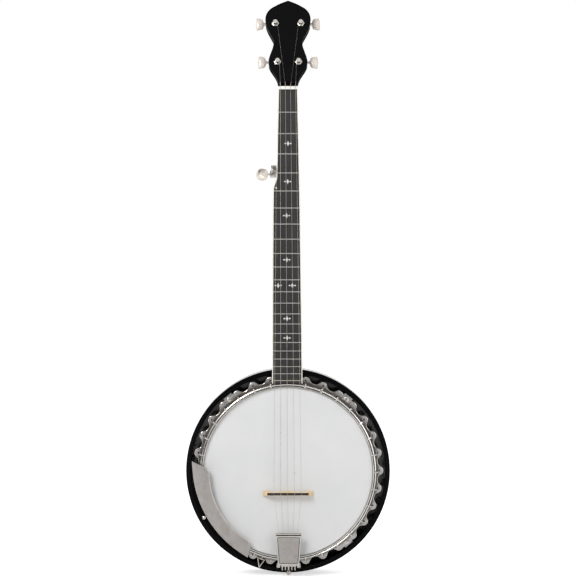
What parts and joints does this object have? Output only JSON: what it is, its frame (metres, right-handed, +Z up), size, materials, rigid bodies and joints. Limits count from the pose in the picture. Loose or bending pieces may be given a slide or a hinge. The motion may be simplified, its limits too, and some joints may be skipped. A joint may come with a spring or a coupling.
{
  "type": "resonator banjo",
  "caption": "Five-string resonator banjo with a frosted head on a metal-hooped pot, a fretted neck, geared tuners, a lidded tailpiece and an armrest.",
  "frame": {"origin": "centre of the resonator's flat back outer face, on the axis of the round pot", "axes": "+Z up the neck towards the headstock, +Y out of the resonator's back, +X to the right as seen from the front; the head, strings and frets face -Y"},
  "size_m": [0.3396, 0.112, 0.9539],
  "materials": {
    "black_gloss": "high-gloss black lacquer over wood",
    "mahogany_burst": "gloss lacquer, dark mahogany shaded to black at the edges",
    "maple": "satin maple",
    "bronze": "turned bell bronze",
    "aluminium": "drawn aluminium",
    "steel": "plain steel",
    "nickel": "polished nickel plate",
    "nickel_satin": "satin nickel plate",
    "frosted_head": "frosted white coating on clear film",
    "black_plastic": "gloss black plastic",
    "rosewood": "oiled dark rosewood",
    "cream_binding": "cream binding",
    "pearl": "mother of pearl",
    "bone": "polished bone",
    "ebony": "satin ebony",
    "string_steel": "drawn steel wire",
    "button_pearl": "cream pearloid"
  },
  "bodies": {
    "banjo": {"resonator_back": "mahogany_burst", "resonator_wall": "black_gloss", "resonator_lugs": "steel", "resonator_screws": "nickel", "rim": "maple", "tone_ring": "bronze", "flange": "nickel_satin", "flesh_hoop": "aluminium", "head": "frosted_head", "tension_hoop": "nickel", "bracket_hooks": "nickel", "bracket_nuts": "nickel", "coordinator_rods": "steel", "coordinator_bolts": "steel", "coordinator_nuts": "nickel", "neck": "mahogany_burst", "truss_rod": "steel", "headstock_overlay": "black_gloss", "truss_rod_cover": "black_plastic", "fingerboard": "rosewood", "fingerboard_binding": "cream_binding", "frets": "nickel", "inlays": "pearl", "side_dots": "black_plastic", "nut": "bone", "fifth_string_pip": "bone", "tuner_plates": "nickel", "tuner_bushings": "nickel", "tuner_plate_screws": "nickel", "fifth_tuner_case": "nickel", "long_strings": "string_steel", "fifth_string": "string_steel", "bridge_base": "maple", "bridge_cap": "ebony", "tailpiece_base": "nickel", "tailpiece_pins": "steel", "armrest": "nickel_satin", "armrest_clamp": "nickel", "strap_ring_clip": "nickel"},
    "tuner_shaft_upper_left": {"worm_upper_left": "nickel", "button_upper_left": "button_pearl"},
    "tuner_post_upper_left": {"post_upper_left": "nickel"},
    "tuner_shaft_upper_right": {"worm_upper_right": "nickel", "button_upper_right": "button_pearl"},
    "tuner_post_upper_right": {"post_upper_right": "nickel"},
    "tuner_shaft_lower_left": {"worm_lower_left": "nickel", "button_lower_left": "button_pearl"},
    "tuner_post_lower_left": {"post_lower_left": "nickel"},
    "tuner_shaft_lower_right": {"worm_lower_right": "nickel", "button_lower_right": "button_pearl"},
    "tuner_post_lower_right": {"post_lower_right": "nickel"},
    "tuner_shaft_fifth": {"worm_fifth": "nickel", "button_fifth": "button_pearl"},
    "tuner_post_fifth": {"post_fifth": "nickel"},
    "tailpiece_cover": {"tailpiece_cover": "nickel", "tailpiece_panel": "nickel_satin"},
    "tailpiece_knob": {"tailpiece_knob": "nickel"},
    "strap_ring": {"strap_ring": "nickel"}
  },
  "joints": [
    {"name": "turn_upper_left", "type": "hinge", "parent": "banjo", "child": "tuner_shaft_upper_left", "pos_m": [-0.0212, -0.04993, 0.74593], "axis": [1, 0, 0], "continuous": true},
    {"name": "wind_upper_left", "type": "hinge", "parent": "banjo", "child": "tuner_post_upper_left", "pos_m": [-0.0212, -0.05148, 0.73972], "axis": [0, -0.9703, 0.2419], "continuous": true},
    {"name": "turn_upper_right", "type": "hinge", "parent": "banjo", "child": "tuner_shaft_upper_right", "pos_m": [0.0212, -0.04993, 0.74593], "axis": [1, 0, 0], "continuous": true},
    {"name": "wind_upper_right", "type": "hinge", "parent": "banjo", "child": "tuner_post_upper_right", "pos_m": [0.0212, -0.05148, 0.73972], "axis": [0, -0.9703, 0.2419], "continuous": true},
    {"name": "turn_lower_left", "type": "hinge", "parent": "banjo", "child": "tuner_shaft_lower_left", "pos_m": [-0.0175, -0.06643, 0.67975], "axis": [1, 0, 0], "continuous": true},
    {"name": "wind_lower_left", "type": "hinge", "parent": "banjo", "child": "tuner_post_lower_left", "pos_m": [-0.0175, -0.06798, 0.67354], "axis": [0, -0.9703, 0.2419], "continuous": true},
    {"name": "turn_lower_right", "type": "hinge", "parent": "banjo", "child": "tuner_shaft_lower_right", "pos_m": [0.0175, -0.06643, 0.67975], "axis": [1, 0, 0], "continuous": true},
    {"name": "wind_lower_right", "type": "hinge", "parent": "banjo", "child": "tuner_post_lower_right", "pos_m": [0.0175, -0.06798, 0.67354], "axis": [0, -0.9703, 0.2419], "continuous": true},
    {"name": "turn_fifth", "type": "hinge", "parent": "banjo", "child": "tuner_shaft_fifth", "pos_m": [-0.0226, -0.086, 0.4922], "axis": [1, 0, 0], "continuous": true},
    {"name": "wind_fifth", "type": "hinge", "parent": "banjo", "child": "tuner_post_fifth", "pos_m": [-0.0226, -0.086, 0.5006], "axis": [0, -1, 0], "continuous": true},
    {"name": "cover_hinge", "type": "hinge", "parent": "banjo", "child": "tailpiece_cover", "pos_m": [0.001, -0.1048, -0.1536], "axis": [1, 0, 0], "range_deg": [0, 60]},
    {"name": "knob_turn", "type": "hinge", "parent": "banjo", "child": "tailpiece_knob", "pos_m": [0.001, -0.084, -0.156], "axis": [0, 0, 1], "range_deg": [-360, 360]},
    {"name": "strap_ring_swing", "type": "hinge", "parent": "banjo", "child": "strap_ring", "pos_m": [-0.0448, -0.0756, -0.14555], "axis": [0.9221, 0, -0.387], "range_deg": [-100, 15]}
  ],
  "couplings": [
    {"joint": "wind_upper_left", "follows": "turn_upper_left", "ratio": 0.071429},
    {"joint": "wind_upper_right", "follows": "turn_upper_right", "ratio": 0.071429},
    {"joint": "wind_lower_left", "follows": "turn_lower_left", "ratio": 0.071429},
    {"joint": "wind_lower_right", "follows": "turn_lower_right", "ratio": 0.071429},
    {"joint": "wind_fifth", "follows": "turn_fifth", "ratio": -0.071429}
  ]
}
